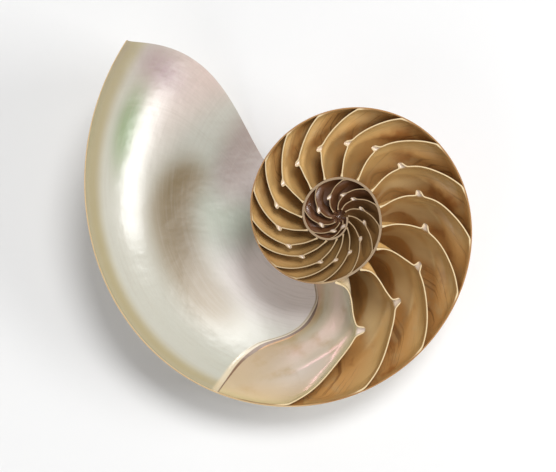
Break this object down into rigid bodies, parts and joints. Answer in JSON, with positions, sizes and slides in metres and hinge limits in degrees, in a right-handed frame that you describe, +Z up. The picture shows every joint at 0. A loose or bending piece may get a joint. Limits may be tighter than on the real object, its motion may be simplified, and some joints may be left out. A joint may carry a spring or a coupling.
{
  "type": "nautilus shell half",
  "caption": "Half of a chambered nautilus shell, sawn along its spiral and lying on its flank with the pearly chambers and open body chamber facing up.",
  "frame": {"origin": "under the middle of the bounding box, on the surface the shell rests on", "axes": "+Z up, +X along the shell's longest way, away from the body chamber, +Y towards the tip of the lip; the sawn face leans 11.6 degrees off level, facing up and a little towards -Y"},
  "size_m": [0.1552, 0.147, 0.0521],
  "materials": {
    "shell": "gloss"
  },
  "bodies": {
    "root": {"shell_half": "shell"}
  },
  "joints": []
}
